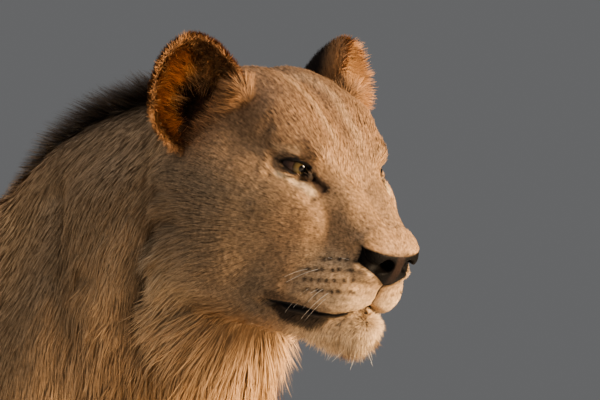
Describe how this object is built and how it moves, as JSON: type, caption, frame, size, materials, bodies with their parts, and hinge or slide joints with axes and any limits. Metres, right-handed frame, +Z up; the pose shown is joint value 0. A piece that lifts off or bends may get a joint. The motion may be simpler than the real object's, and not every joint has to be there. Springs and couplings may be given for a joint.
{
  "type": "young male lion, standing",
  "caption": "Life-size still model of a young male lion on four feet, head raised and turned to its right, with a short dark mane and a tufted tail.",
  "frame": {"origin": "on the floor, halfway between the nose and the tail's tuft, on the body's middle plane", "axes": "+X towards the nose, +Y to the lion's left, +Z up"},
  "size_m": [1.7624, 0.3674, 1.2018],
  "materials": {
    "coat": "short tawny fur, paler below and longer on the neck",
    "mane": "longer dark brown hair",
    "tail_tuft": "long blackish hair",
    "nose_leather": "moist fine-grained skin",
    "eye": "wet amber eye"
  },
  "bodies": {
    "root": {"head": "coat", "nose": "nose_leather", "lower_jaw": "coat", "ear_left": "coat", "ear_right": "coat", "eye_left": "eye", "eye_right": "eye", "neck": "coat", "mane": "mane", "trunk": "coat", "foreleg_left": "coat", "forepaw_left": "coat", "foreleg_right": "coat", "forepaw_right": "coat", "hindleg_left": "coat", "hindpaw_left": "coat", "hindleg_right": "coat", "hindpaw_right": "coat", "tail": "coat", "tail_tuft": "tail_tuft"}
  },
  "joints": []
}
